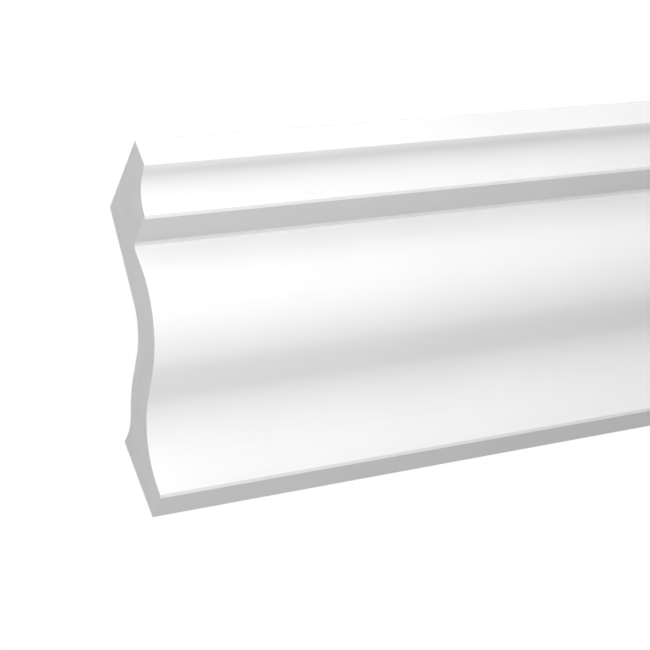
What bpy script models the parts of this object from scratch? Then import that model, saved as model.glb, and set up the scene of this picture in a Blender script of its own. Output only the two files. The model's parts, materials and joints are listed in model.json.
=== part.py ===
"""Crown moulding length: one moulded profile that fills the corner between a wall and a ceiling.

+X runs along the length, +Y goes into the wall and +Z goes up to the ceiling. The origin is
the middle of the face that beds on the wall. The profile is drawn as (out, up): the distance
out from the wall, and the height above the moulding's lower edge. Run it with
blender --background --python part.py, or from the text editor.
"""
import math

import bmesh
import bpy

NAME = "crown_moulding"

# Overall sizes, in metres
LENGTH = 1.0
DROP = 0.120
PROJECTION = 0.1204

# Faces that bed on the building
WALL_SEAT = 0.0408
CEILING_SEAT = 0.0460

# Front edge, from the ceiling down: the fillet, a narrow flat, and a round that rolls back inwards
FILLET = 0.0131
DRAFT = math.radians(3.4)
FOOT_RUN = 0.00025
FOOT_DROP = 0.0003
ROLL_RADIUS = 0.0178
ROLL_START = math.radians(68.5)

# Cove, from the end of the roll down to its lip, and the flat that eases the lip's arris
COVE_RADIUS = 0.01546
COVE_START = math.radians(81.5)
COVE_END = math.radians(13.0)
LIP_RUN = 0.0004
LIP_DROP = 0.00128
ARRIS_RUN = 0.0015
ARRIS_DROP = 0.00077

# Soffit behind the cove, the quirk in its inner corner, and the short neck under it
SOFFIT = 0.0165
QUIRK_RADIUS = 0.00245
QUIRK_FLATS = 2
NECK = 0.0086

# Cyma reversa: a belly, a straight and a hollow, which ends upright over the toe
BELLY_SHARE = 0.541
CYMA_STRAIGHT = 0.0122
TOE = 0.0162
TOE_HEIGHT = 0.0038

# Underside: it rises outwards to a flat that eases the toe's arris
UNDERSIDE_RISE = math.radians(5.0)
TOE_ARRIS_RUN = 0.0016
TOE_ARRIS_RISE = 0.00095

# Back: it follows the cyma at one thickness, set a little in and down, to a round at the heel
SHELL = 0.0181
BACK_IN = 0.00096
BACK_DOWN = 0.00096
HEEL_RADIUS = 0.0185
HEEL_LEDGE_LEAST = 0.0010

# Facets: how far one may leave its true curve, and the corner that still shows as an edge
CHORD_ERROR = 0.00001
EDGE_ANGLE = math.radians(20.0)

# Finish: white primer
PRIMER_COLOUR = (0.87, 0.87, 0.87, 1.0)
PRIMER_ROUGHNESS = 0.5


def polar(centre, radius, angle):
    """The point at an angle on a circle."""
    return (centre[0] + radius * math.cos(angle), centre[1] + radius * math.sin(angle))


def arc(centre, radius, start, end):
    """Points from one angle to the other, both ends included, within the chord error."""
    step = 2.0 * math.acos(1.0 - CHORD_ERROR / radius)
    count = max(1, math.ceil(abs(end - start) / step))
    return [polar(centre, radius, start + (end - start) * i / count) for i in range(count + 1)]


def cyma_arcs(top, foot):
    """Centres and radii of two arcs that leave top and foot upright, with a straight between them."""
    across, down = top[0] - foot[0], top[1] - foot[1]
    turn = -2.0 * math.atan2(across, down + CYMA_STRAIGHT)
    both_radii = (CYMA_STRAIGHT * math.cos(turn) - down) / math.sin(turn)
    belly_radius = both_radii * BELLY_SHARE
    hollow_radius = both_radii - belly_radius
    belly = (top[0] - belly_radius, top[1])
    hollow = (foot[0] + hollow_radius, foot[1])
    return belly, belly_radius, hollow, hollow_radius, turn


def front_fillet():
    """The front edge from its foot up to the ceiling, leaning back towards the wall as it drops."""
    foot = (PROJECTION - FILLET * math.tan(DRAFT), DROP - FILLET)
    return [foot, (PROJECTION, DROP)]


def roll(fillet_foot):
    """From the cove's top out to the narrow flat under the fillet, as a gentle outward round."""
    start = (fillet_foot[0] - FOOT_RUN, fillet_foot[1] - FOOT_DROP)
    centre = polar(start, ROLL_RADIUS, math.pi - ROLL_START)
    return arc(centre, ROLL_RADIUS, -COVE_START, -ROLL_START)


def cove(top):
    """The soffit's arris, the flat that eases it, the lip and the hollow up to where the roll ends."""
    centre = polar(top, COVE_RADIUS, -COVE_START)
    hollow = arc(centre, COVE_RADIUS, math.pi - COVE_END, math.pi - COVE_START)
    lip = (hollow[0][0] - LIP_RUN, hollow[0][1] - LIP_DROP)
    return [(lip[0] - ARRIS_RUN, lip[1] - ARRIS_DROP), lip] + hollow


def quirk(soffit_arris):
    """The narrow flats between the neck and the soffit."""
    centre = (soffit_arris[0] - SOFFIT, soffit_arris[1] - QUIRK_RADIUS)
    turn = math.pi / 2 / QUIRK_FLATS
    return [polar(centre, QUIRK_RADIUS, math.pi - turn * i) for i in range(QUIRK_FLATS + 1)]


def toe():
    """The lower edge on the wall, the underside that rises outwards, and its eased arris."""
    corner = TOE - TOE_ARRIS_RUN
    rise = corner * math.tan(UNDERSIDE_RISE)
    return [(0.0, 0.0), (corner, rise), (TOE, rise + TOE_ARRIS_RISE)]


def back(belly, belly_radius, hollow, hollow_radius, turn):
    """From the ceiling down to the wall: a straight, the shell along the cyma and the heel."""
    ceiling_corner = (PROJECTION - CEILING_SEAT, DROP)
    inner = (belly[0] - BACK_IN, belly[1] - BACK_DOWN)
    outer = (hollow[0] - BACK_IN, hollow[1] - BACK_DOWN)
    inner_radius = belly_radius - SHELL
    outer_radius = hollow_radius + SHELL
    reach = math.dist(ceiling_corner, inner)
    towards = math.atan2(ceiling_corner[1] - inner[1], ceiling_corner[0] - inner[0])
    leave = towards - math.acos(inner_radius / reach)

    seat_rise = WALL_SEAT - outer[1]
    room = outer[0] - HEEL_LEDGE_LEAST
    largest = (room ** 2 + seat_rise ** 2 - outer_radius ** 2) / (2.0 * (outer_radius - seat_rise))
    radius = min(HEEL_RADIUS, largest)
    ledge = outer[0] - math.sqrt((outer_radius + radius) ** 2 - (seat_rise + radius) ** 2)
    heel = (ledge, WALL_SEAT + radius)
    meet = math.atan2(heel[1] - outer[1], heel[0] - outer[0])

    return (
        [ceiling_corner]
        + arc(inner, inner_radius, leave, turn)
        + arc(outer, outer_radius, turn + math.pi, meet)
        + arc(heel, radius, meet - math.pi, -math.pi / 2)[1:]
        + [(0.0, WALL_SEAT)]
    )


def profile():
    """The whole section, anticlockwise, starting at the lower edge on the wall."""
    fillet = front_fillet()
    outer_round = roll(fillet[0])
    hollow_cove = cove(outer_round[0])
    neck = quirk(hollow_cove[0])
    lean = (NECK - QUIRK_RADIUS) * math.tan(DRAFT)
    cyma_top = (neck[0][0] - lean, hollow_cove[0][1] - NECK)
    cyma_foot = (TOE, TOE_HEIGHT)
    belly, belly_radius, hollow, hollow_radius, turn = cyma_arcs(cyma_top, cyma_foot)
    lower = arc(hollow, hollow_radius, math.pi, turn + math.pi)
    upper = arc(belly, belly_radius, turn, 0.0)
    shell_back = back(belly, belly_radius, hollow, hollow_radius, turn)
    front = toe() + lower + upper + neck + hollow_cove + outer_round[1:] + fillet
    return front + shell_back


def primer():
    material = bpy.data.materials.new("white_primer")
    material.use_nodes = True
    shader = material.node_tree.nodes["Principled BSDF"]
    shader.inputs["Base Color"].default_value = PRIMER_COLOUR
    shader.inputs["Roughness"].default_value = PRIMER_ROUGHNESS
    shader.inputs["Metallic"].default_value = 0.0
    return material


def moulding():
    """The section swept along X, centred on the origin and cut square at both ends."""
    mesh = bmesh.new()
    left = -LENGTH / 2
    points = [mesh.verts.new((left, -out, up - WALL_SEAT / 2)) for out, up in profile()]
    end = mesh.faces.new(points)
    swept = bmesh.ops.extrude_face_region(mesh, geom=[end], use_keep_orig=True)
    far_points = [item for item in swept["geom"] if isinstance(item, bmesh.types.BMVert)]
    bmesh.ops.translate(mesh, verts=far_points, vec=(LENGTH, 0.0, 0.0))
    bmesh.ops.recalc_face_normals(mesh, faces=mesh.faces)

    data = bpy.data.meshes.new(NAME)
    mesh.to_mesh(data)
    mesh.free()
    data.shade_smooth()
    data.set_sharp_from_angle(angle=EDGE_ANGLE)
    data.materials.append(primer())
    piece = bpy.data.objects.new(NAME, data)
    bpy.context.scene.collection.objects.link(piece)
    return piece


for old in list(bpy.data.objects):
    bpy.data.objects.remove(old, do_unlink=True)

moulding()
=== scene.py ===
"""Looks of the crown moulding length: its finished surfaces, the light and the camera.

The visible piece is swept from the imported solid's own section, so it keeps that solid's sizes.
+X runs along the length, +Y goes into the wall and +Z goes up to the ceiling, in metres.
"""

import json
import math

import bmesh
import bpy
from mathutils import Matrix, Vector

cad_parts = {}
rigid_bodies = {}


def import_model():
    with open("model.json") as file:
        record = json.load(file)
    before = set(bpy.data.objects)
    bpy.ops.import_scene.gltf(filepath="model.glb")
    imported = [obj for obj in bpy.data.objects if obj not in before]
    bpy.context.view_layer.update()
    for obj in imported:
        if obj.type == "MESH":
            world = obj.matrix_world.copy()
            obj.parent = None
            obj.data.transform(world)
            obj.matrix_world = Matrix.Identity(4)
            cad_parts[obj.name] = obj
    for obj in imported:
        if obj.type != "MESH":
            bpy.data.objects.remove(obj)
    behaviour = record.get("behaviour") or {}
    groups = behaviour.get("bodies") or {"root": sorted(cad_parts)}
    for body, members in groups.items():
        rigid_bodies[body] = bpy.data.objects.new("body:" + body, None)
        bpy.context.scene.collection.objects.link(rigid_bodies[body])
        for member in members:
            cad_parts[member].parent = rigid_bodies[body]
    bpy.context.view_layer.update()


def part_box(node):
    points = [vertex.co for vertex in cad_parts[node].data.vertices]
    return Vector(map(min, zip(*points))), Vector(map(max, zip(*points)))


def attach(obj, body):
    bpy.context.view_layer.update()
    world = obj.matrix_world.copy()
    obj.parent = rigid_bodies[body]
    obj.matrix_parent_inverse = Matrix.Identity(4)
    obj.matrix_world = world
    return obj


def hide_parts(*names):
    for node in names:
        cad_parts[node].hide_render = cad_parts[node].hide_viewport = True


NODE = "crown_moulding"
PIECE = "moulding_length"

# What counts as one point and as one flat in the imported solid
SAME_POINT = 0.000001
FLAT_ENOUGH = math.radians(0.1)

# Rounds on the section's arrises: the least turn that gets one, and the most of a side that it takes
CORNER_LEAST = math.radians(15.0)
SIDE_MOST = 1.0 / 3.0
ARRIS_ROUND = 0.0002
ARRIS_STEPS = 4

# Rounds on the edges of the two cut ends; a bulge of a half makes them arcs
CUT_ROUND = 0.00015
CUT_STEPS = 3
CUT_BULGE = 0.5

# Surfaces, by their place in the piece's list of materials
FACE, CUT, BACK = range(3)

# Every surface: how much it shines, and how finely its noise is broken up, drawn out and read
SHINE = 0.2
NOISE_DETAIL = 2.0
NOT_DRAWN = (1.0, 1.0, 1.0)
NOISE_MIDDLE = (0.35, 0.65)
WHOLE = (0.0, 1.0)

# Painted face: grey levels, grain sizes and relief in metres
FACE_DIM = 0.765
FACE_PALE = 0.785
MOTTLE = 0.045
MOTTLE_DETAIL = 3.0
STREAK = 0.0035
STREAK_DRAW = (60.0, 1.0, 1.0)
STREAK_SHARE = (0.0, 0.5)
FACE_GLOSS = (0.50, 0.62)
FACE_GLOSS_GRAIN = 0.009
PEEL = 0.0012
PEEL_DEPTH = 0.000012
RIPPLE = 0.016
RIPPLE_DRAW = (4.0, 1.0, 1.0)
RIPPLE_DEPTH = 0.00004

# Sawn ends: close foam with fine pores, painted darker inside as painted shade, and the saw's faint lines
CUT_DIM = 0.755
CUT_PALE = 0.78
CUT_GRAIN = 0.009
# Painted shade: the grey of the pits, darker than the foam around them
CUT_PORE_SHADE = 0.70
CUT_GLOSS = (0.75, 0.85)
PORE = 0.0009
PORE_SIZE = (0.10, 0.22)
PORE_DEPTH = 0.00012
SAW_LINE = 0.0006
SAW_DRAW = (1.0, 45.0, 1.0)
SAW_DEPTH = 0.00002

# Back and seats: the mould's plain skin
BACK_DIM = 0.735
BACK_PALE = 0.765
BACK_DETAIL = 4.0
BACK_GLOSS = (0.65, 0.82)
SKIN = 0.0022
SKIN_DETAIL = 3.0
SKIN_DEPTH = 0.00006

# Camera: where it stands from the left end's lower edge on the wall, and how it is turned
CAMERA_FROM_EDGE = Vector((-0.3053, -0.6837, -0.3382))
CAMERA_RIGHT = Vector((0.8738, -0.3248, -0.3619))
CAMERA_UP = Vector((0.1189, -0.5789, 0.8067))
CAMERA_LENS = 100.0
CAMERA_SENSOR = 36.0

# Room: a white backdrop and a pale floor far below, which the camera sees and which light nothing
WHITE_BACKDROP = 1.0
PALE_FLOOR = 0.93
FLOOR_BELOW = 3.2
FLOOR_SIZE = 400.0

# Wide light from straight above: how it is turned to the right of the front, raised and spread
SKY_TURN = math.radians(0.0)
SKY_RISE = math.radians(90.0)
SKY_SPREAD = math.radians(180.0)
SKY_POWER = 1.935

# Wide light from straight below
GROUND_TURN = math.radians(0.0)
GROUND_RISE = math.radians(-90.0)
GROUND_SPREAD = math.radians(120.0)
GROUND_POWER = 1.065

# Wide light from behind, for the back
BACK_TURN = math.radians(150.0)
BACK_RISE = math.radians(40.0)
BACK_SPREAD = math.radians(40.0)
BACK_POWER = 2.2

# Lamps: soft discs that all face one point, measured from the left, front, lower corner of the box
LAMP_AIM = Vector((0.15, 0.06, 0.06))
LAMP_REACH = 0.9
LAMP_SIZE = 0.4

# Lamp in front
FRONT_TURN = math.radians(0.0)
FRONT_RISE = math.radians(0.0)
FRONT_POWER = 3.15

# Lamp below on the left
LOW_TURN = math.radians(-30.0)
LOW_RISE = math.radians(-30.0)
LOW_POWER = 4.42

# Lamp round to the left
SIDE_TURN = math.radians(-60.0)
SIDE_RISE = math.radians(0.0)
SIDE_POWER = 1.02


def section(node):
    """The solid's left end as a loop of (y, z) points, in order."""
    mesh = bmesh.new()
    mesh.from_mesh(bpy.data.objects[node].data)
    bmesh.ops.remove_doubles(mesh, verts=mesh.verts, dist=SAME_POINT)
    bmesh.ops.dissolve_limit(
        mesh, angle_limit=FLAT_ENOUGH, verts=mesh.verts, edges=mesh.edges, use_dissolve_boundaries=False
    )
    left = min(v.co.x for v in mesh.verts)
    end = next(f for f in mesh.faces if all(abs(v.co.x - left) < SAME_POINT for v in f.verts))
    loop = [Vector((v.co.y, v.co.z)) for v in end.verts]
    mesh.free()
    return loop


def eased(loop, radius, steps):
    """The loop with each real corner replaced by a small round."""
    points = []
    for i, corner in enumerate(loop):
        before, after = loop[i - 1] - corner, loop[(i + 1) % len(loop)] - corner
        turn = math.pi - before.angle(after)
        if turn < CORNER_LEAST:
            points.append(corner)
            continue
        back = min(radius * math.tan(turn / 2), before.length * SIDE_MOST, after.length * SIDE_MOST)
        start, end = corner + before.normalized() * back, corner + after.normalized() * back
        for k in range(steps + 1):
            t = k / steps
            points.append((1 - t) ** 2 * start + 2 * t * (1 - t) * corner + t ** 2 * end)
    return points


def grey(level):
    """An even grey, opaque."""
    return (level, level, level, 1.0)


def noise(tree, grain, detail=NOISE_DETAIL, draw=NOT_DRAWN):
    """Soft noise with grains of one size, drawn out along the axes by the given factors."""
    place = tree.nodes.new("ShaderNodeTexCoord")
    scaled = tree.nodes.new("ShaderNodeMapping")
    scaled.inputs["Scale"].default_value = [1.0 / (grain * factor) for factor in draw]
    cloud = tree.nodes.new("ShaderNodeTexNoise")
    cloud.inputs["Scale"].default_value = 1.0
    cloud.inputs["Detail"].default_value = detail
    tree.links.new(place.outputs["Object"], scaled.inputs["Vector"])
    tree.links.new(scaled.outputs["Vector"], cloud.inputs["Vector"])
    return cloud.outputs["Fac"]


def pores(tree, grain, size):
    """Round pits about one grain apart: 0 in a pit and 1 between them."""
    place = tree.nodes.new("ShaderNodeTexCoord")
    cells = tree.nodes.new("ShaderNodeTexVoronoi")
    cells.inputs["Scale"].default_value = 1.0 / grain
    tree.links.new(place.outputs["Object"], cells.inputs["Vector"])
    return ranged(tree, cells.outputs["Distance"], size, WHOLE)


def ranged(tree, value, start, end):
    """The value moved from one range to another, and held inside it."""
    node = tree.nodes.new("ShaderNodeMapRange")
    node.inputs["From Min"].default_value, node.inputs["From Max"].default_value = start
    node.inputs["To Min"].default_value, node.inputs["To Max"].default_value = end
    tree.links.new(value, node.inputs["Value"])
    return node.outputs["Result"]


def blended(tree, share, low, high):
    """A colour between two, each a grey level or another colour's output."""
    node = tree.nodes.new("ShaderNodeMix")
    node.data_type = "RGBA"
    tree.links.new(share, node.inputs["Factor"])
    for name, colour in (("A", low), ("B", high)):
        socket = next(s for s in node.inputs if s.name == name and s.type == "RGBA")
        if isinstance(colour, float):
            socket.default_value = grey(colour)
        else:
            tree.links.new(colour, socket)
    return next(s for s in node.outputs if s.type == "RGBA")


def raised(tree, height, depth, under=None):
    """A relief of one depth, on top of another if one is given."""
    node = tree.nodes.new("ShaderNodeBump")
    node.inputs["Distance"].default_value = depth
    tree.links.new(height, node.inputs["Height"])
    if under:
        tree.links.new(under, node.inputs["Normal"])
    return node.outputs["Normal"]


def surface(name, colour, roughness, relief):
    """A material from functions that make each part of it in its node tree."""
    material = bpy.data.materials.new(name)
    material.use_nodes = True
    tree = material.node_tree
    shader = tree.nodes["Principled BSDF"]
    shader.inputs["Specular IOR Level"].default_value = SHINE
    tree.links.new(colour(tree), shader.inputs["Base Color"])
    tree.links.new(roughness(tree), shader.inputs["Roughness"])
    tree.links.new(relief(tree), shader.inputs["Normal"])
    return material


def painted_face():
    """Primer with a faint mottle, streaks along the length, a soft ripple and a fine peel."""
    def colour(tree):
        mottle = noise(tree, MOTTLE, detail=MOTTLE_DETAIL)
        streaks = noise(tree, STREAK, draw=STREAK_DRAW)
        patches = blended(tree, ranged(tree, mottle, NOISE_MIDDLE, WHOLE), FACE_DIM, FACE_PALE)
        return blended(tree, ranged(tree, streaks, NOISE_MIDDLE, STREAK_SHARE), patches, FACE_PALE)

    def roughness(tree):
        return ranged(tree, noise(tree, FACE_GLOSS_GRAIN), NOISE_MIDDLE, FACE_GLOSS)

    def relief(tree):
        ripple = raised(tree, noise(tree, RIPPLE, draw=RIPPLE_DRAW), RIPPLE_DEPTH)
        return raised(tree, noise(tree, PEEL), PEEL_DEPTH, ripple)

    return surface("painted_face", colour, roughness, relief)


def sawn_end():
    """Close foam, cut open: fine pores with painted shade in them, between the faint lines of a saw."""
    def colour(tree):
        body = noise(tree, CUT_GRAIN)
        foam = blended(tree, ranged(tree, body, NOISE_MIDDLE, WHOLE), CUT_DIM, CUT_PALE)
        # The pits get a darker grey than the foam, which is painted shade
        return blended(tree, pores(tree, PORE, PORE_SIZE), CUT_PORE_SHADE, foam)

    def roughness(tree):
        return ranged(tree, noise(tree, PORE), NOISE_MIDDLE, CUT_GLOSS)

    def relief(tree):
        lines = raised(tree, noise(tree, SAW_LINE, draw=SAW_DRAW), SAW_DEPTH)
        return raised(tree, pores(tree, PORE, PORE_SIZE), PORE_DEPTH, lines)

    return surface("sawn_end", colour, roughness, relief)


def moulded_back():
    """The dull skin that a mould leaves, a little uneven."""
    def colour(tree):
        mottle = noise(tree, MOTTLE, detail=BACK_DETAIL)
        return blended(tree, ranged(tree, mottle, NOISE_MIDDLE, WHOLE), BACK_DIM, BACK_PALE)

    def roughness(tree):
        return ranged(tree, noise(tree, SKIN), NOISE_MIDDLE, BACK_GLOSS)

    def relief(tree):
        return raised(tree, noise(tree, SKIN, detail=SKIN_DETAIL), SKIN_DEPTH)

    return surface("moulded_back", colour, roughness, relief)


def kind(face):
    """Which surface a face belongs to, by the way it faces."""
    if abs(face.normal.x) > abs(face.normal.y) and abs(face.normal.x) > abs(face.normal.z):
        return CUT
    return BACK if face.normal.y + face.normal.z > 0.0 else FACE


def moulding(node):
    """Sweeps the eased section along the solid's length and eases the cut edges."""
    low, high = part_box(node)
    mesh = bmesh.new()
    loop = eased(section(node), ARRIS_ROUND, ARRIS_STEPS)
    end = mesh.faces.new([mesh.verts.new((low.x, p.x, p.y)) for p in loop])
    swept = bmesh.ops.extrude_face_region(mesh, geom=[end], use_keep_orig=True)
    far = [g for g in swept["geom"] if isinstance(g, bmesh.types.BMVert)]
    bmesh.ops.translate(mesh, verts=far, vec=(high.x - low.x, 0.0, 0.0))
    bmesh.ops.recalc_face_normals(mesh, faces=mesh.faces)
    cut_edges = [e for e in mesh.edges if abs(e.verts[0].co.x - e.verts[1].co.x) < SAME_POINT]
    bmesh.ops.bevel(
        mesh, geom=cut_edges, offset=CUT_ROUND, segments=CUT_STEPS, affect="EDGES", profile=CUT_BULGE
    )
    for face in mesh.faces:
        face.material_index = kind(face)

    data = bpy.data.meshes.new(PIECE)
    mesh.to_mesh(data)
    mesh.free()
    data.shade_smooth()
    for material in (painted_face(), sawn_end(), moulded_back()):
        data.materials.append(material)
    piece = bpy.data.objects.new(PIECE, data)
    bpy.context.scene.collection.objects.link(piece)
    piece.modifiers.new("flats_stay_flat", "WEIGHTED_NORMAL")
    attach(piece, "root")
    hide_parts(node)


def camera(edge):
    """The camera, placed from the left end's lower edge on the wall."""
    data = bpy.data.cameras.new("camera")
    data.lens = CAMERA_LENS
    data.sensor_width = CAMERA_SENSOR
    item = bpy.data.objects.new("camera", data)
    bpy.context.scene.collection.objects.link(item)
    right = CAMERA_RIGHT.normalized()
    back = right.cross(CAMERA_UP).normalized()
    up = back.cross(right)
    turned = Matrix((right, up, back)).transposed().to_4x4()
    item.matrix_world = Matrix.Translation(edge + CAMERA_FROM_EDGE) @ turned
    bpy.context.scene.camera = item


def shown_only(tree, level):
    """An even grey that the camera sees and that lights nothing."""
    path = tree.nodes.new("ShaderNodeLightPath")
    glow = tree.nodes.new("ShaderNodeEmission")
    glow.inputs["Color"].default_value = grey(level)
    tree.links.new(path.outputs["Is Camera Ray"], glow.inputs["Strength"])
    return glow.outputs["Emission"]


def floor(height):
    """A pale square, which neither lights nor shades the piece."""
    half = FLOOR_SIZE / 2
    corners = [(-half, -half, height), (half, -half, height), (half, half, height), (-half, half, height)]
    mesh = bpy.data.meshes.new("floor")
    mesh.from_pydata(corners, [], [(0, 1, 2, 3)])
    material = bpy.data.materials.new("pale_floor")
    material.use_nodes = True
    tree = material.node_tree
    tree.nodes.clear()
    out = tree.nodes.new("ShaderNodeOutputMaterial")
    tree.links.new(shown_only(tree, PALE_FLOOR), out.inputs["Surface"])
    mesh.materials.append(material)
    item = bpy.data.objects.new("floor", mesh)
    item.visible_diffuse = False
    item.visible_glossy = False
    item.visible_shadow = False
    bpy.context.scene.collection.objects.link(item)


def room():
    """A white backdrop all round."""
    world = bpy.data.worlds.new("room")
    bpy.context.scene.world = world
    world.use_nodes = True
    tree = world.node_tree
    tree.nodes.clear()
    out = tree.nodes.new("ShaderNodeOutputWorld")
    tree.links.new(shown_only(tree, WHITE_BACKDROP), out.inputs["Surface"])


def away(turn, rise):
    """The way out to a light, turned to the right of straight in front and raised."""
    return Vector((math.sin(turn) * math.cos(rise), -math.cos(turn) * math.cos(rise), math.sin(rise)))


def light(name, sort, turn, rise, power, bounced):
    """A light that the camera doesn't see, and whose light the piece passes on only if bounced."""
    data = bpy.data.lights.new(name, sort)
    data.energy = power
    # A ray that met the light by chance would bring back the bounces that are left out
    data.cycles.use_multiple_importance_sampling = False
    if not bounced:
        data.cycles.max_bounces = 0

    item = bpy.data.objects.new(name, data)
    bpy.context.scene.collection.objects.link(item)
    item.rotation_euler = away(turn, rise).to_track_quat("Z", "Y").to_euler()
    item.visible_camera = False
    return item


def wide_light(name, turn, rise, spread, power, bounced=False):
    """An even light from far away, spread over an angle."""
    light(name, "SUN", turn, rise, power, bounced).data.angle = spread


def lamp(name, aim, turn, rise, power, bounced=False):
    """A round lamp at a set distance, which faces the aim."""
    item = light(name, "AREA", turn, rise, power, bounced)
    item.data.shape = "DISK"
    item.data.size = LAMP_SIZE
    item.location = aim + away(turn, rise) * LAMP_REACH


for old in list(bpy.data.objects):
    bpy.data.objects.remove(old, do_unlink=True)
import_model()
low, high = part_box(NODE)

moulding(NODE)
camera(Vector((low.x, high.y, low.z)))
floor(low.z - FLOOR_BELOW)
room()

# Only the light from above and the lamp in front are passed on from one face to another
wide_light("sky_light", SKY_TURN, SKY_RISE, SKY_SPREAD, SKY_POWER, bounced=True)
wide_light("ground_light", GROUND_TURN, GROUND_RISE, GROUND_SPREAD, GROUND_POWER)
wide_light("back_light", BACK_TURN, BACK_RISE, BACK_SPREAD, BACK_POWER)
aim = low + LAMP_AIM
lamp("front_lamp", aim, FRONT_TURN, FRONT_RISE, FRONT_POWER, bounced=True)
lamp("low_lamp", aim, LOW_TURN, LOW_RISE, LOW_POWER)
lamp("side_lamp", aim, SIDE_TURN, SIDE_RISE, SIDE_POWER)

bpy.context.scene.view_settings.view_transform = "Standard"
